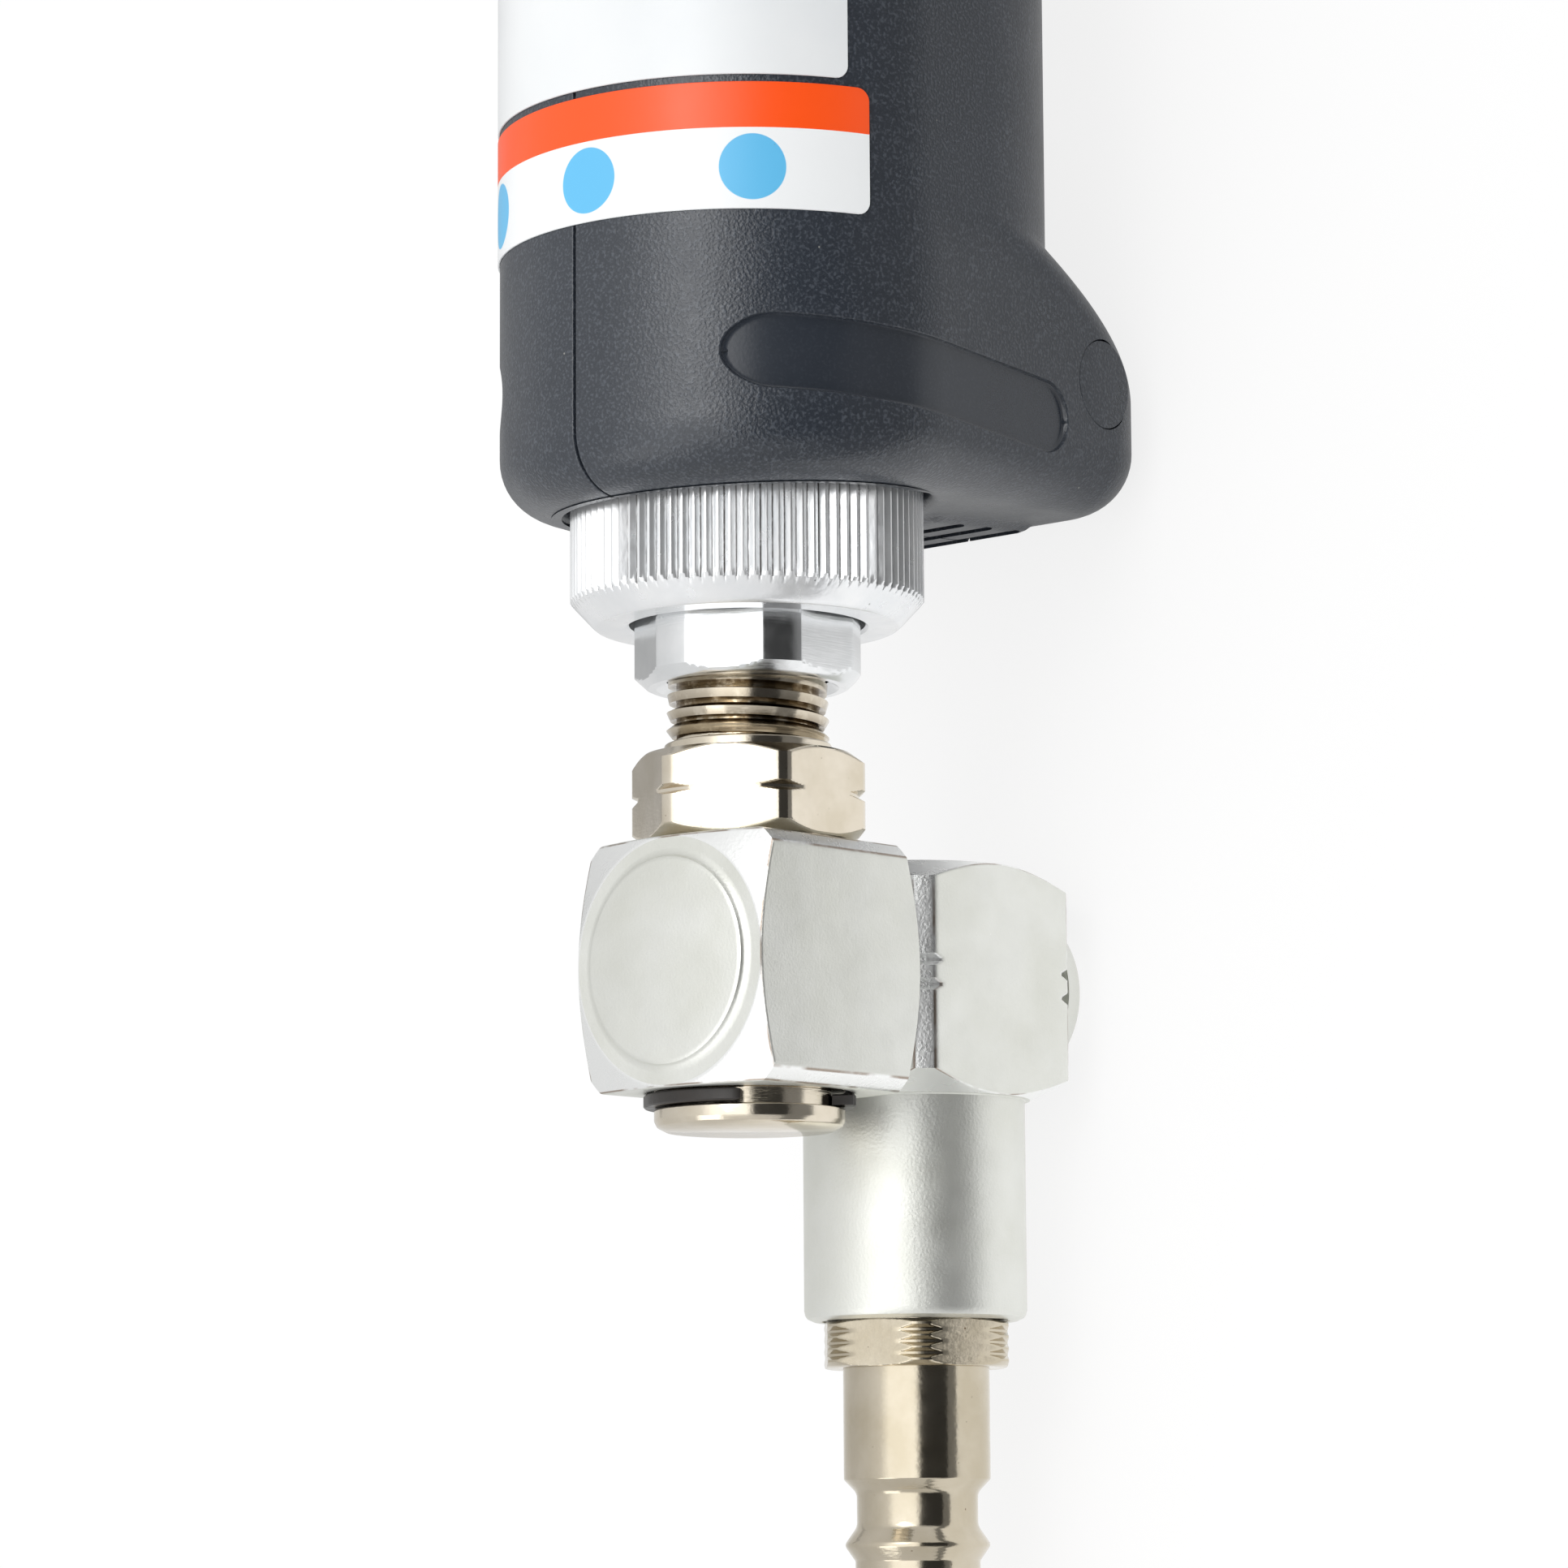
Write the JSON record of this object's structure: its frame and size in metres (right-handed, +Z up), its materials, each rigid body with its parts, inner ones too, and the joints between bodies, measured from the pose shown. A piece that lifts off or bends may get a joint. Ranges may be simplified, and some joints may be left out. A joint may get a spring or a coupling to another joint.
{
  "type": "pneumatic saw",
  "caption": "Straight air-driven saw with a flared heel, throttle lever, adjustable shoe, short blade and a two-axis swivel air inlet.",
  "frame": {"origin": "middle of the part's length and width, on the surface that it rests on", "axes": "+X along the tool axis towards the blade, +Z up through the labelled side, the heel and the shoe's lower edge on z = 0"},
  "size_m": [0.3516, 0.04, 0.0535],
  "materials": {
    "composite": "fine-grained moulded composite, slate grey",
    "label_white": "satin film label, white, bare",
    "label_orange": "satin film label, orange-red band over white with three plain blue discs",
    "bright_aluminium": "bright turned aluminium",
    "satin_aluminium": "satin tumbled aluminium",
    "nickel": "nickel plate, warm",
    "black_steel": "black oxide",
    "steel": "ground steel",
    "blade_steel": "ground blade steel",
    "bronze": "turned bronze",
    "rubber": "nitrile rubber",
    "seal_plastic": "white sealing plastic",
    "felt": "grey felt"
  },
  "bodies": {
    "tool": {"housing_left": "composite", "housing_right": "composite", "type_label": "label_white", "band_label": "label_orange", "screw_plugs": "composite", "housing_screws": "steel", "inlet_bushing": "bright_aluminium", "inlet_screen": "bronze", "bushing_o_ring": "rubber", "swivel_stem": "nickel", "stem_clip": "black_steel", "stem_o_rings": "rubber", "valve_block": "satin_aluminium", "throttle_bushing": "bronze", "throttle_spring": "steel", "lever_pin": "steel", "cylinder_cap": "steel", "cylinder": "steel", "rear_buffer": "rubber", "front_buffer": "rubber", "ram_bushing": "bronze", "ram_seal": "rubber", "exhaust_muffler": "felt", "front_head": "satin_aluminium", "head_screws": "steel", "shoe_screws": "black_steel", "shoe_washers": "steel"},
    "regulator": {"regulator_collar": "bright_aluminium"},
    "swivel": {"swivel_block": "satin_aluminium", "cross_o_rings": "rubber", "cross_clip": "black_steel"},
    "elbow": {"elbow_block": "satin_aluminium", "plug_nipple": "nickel", "plug_seal": "seal_plastic"},
    "lever": {"throttle_lever": "bright_aluminium"},
    "valve": {"throttle_stem": "steel"},
    "ram": {"piston_and_ram": "steel", "piston_rings": "bronze", "blade_chuck": "steel", "chuck_screws": "black_steel", "blade": "blade_steel"},
    "shoe": {"shoe_arm": "steel", "shoe_plate": "steel", "shoe_rivets": "steel"}
  },
  "joints": [
    {"name": "inlet_swivel", "type": "hinge", "parent": "tool", "child": "swivel", "pos_m": [-0.1115, 0, 0.0333], "axis": [1, 0, 0], "continuous": true},
    {"name": "elbow_swivel", "type": "hinge", "parent": "swivel", "child": "elbow", "pos_m": [-0.1115, 0, 0.0133], "axis": [0, 0, 1], "range_deg": [-135, 135]},
    {"name": "regulator_turn", "type": "hinge", "parent": "tool", "child": "regulator", "pos_m": [-0.0775, 0, 0.0333], "axis": [1, 0, 0], "range_deg": [0, 90]},
    {"name": "lever_press", "type": "hinge", "parent": "tool", "child": "lever", "pos_m": [-0.0432, 0, 0.0105], "axis": [0, -1, 0], "range_deg": [0, 5], "stiffness_Nm_per_rad": 1, "springref_deg": -17.19},
    {"name": "valve_lift", "type": "slide", "parent": "tool", "child": "valve", "axis": [0, 0, 1], "range_m": [0, 0.0014], "deforming": ["throttle_spring"]},
    {"name": "ram_stroke", "type": "slide", "parent": "tool", "child": "ram", "axis": [1, 0, 0], "range_m": [0, 0.01]},
    {"name": "shoe_slide", "type": "slide", "parent": "tool", "child": "shoe", "axis": [1, 0, 0], "range_m": [-0.004, 0.004]}
  ],
  "couplings": [
    {"joint": "valve_lift", "follows": "lever_press", "m_per_rad": 0.016}
  ]
}
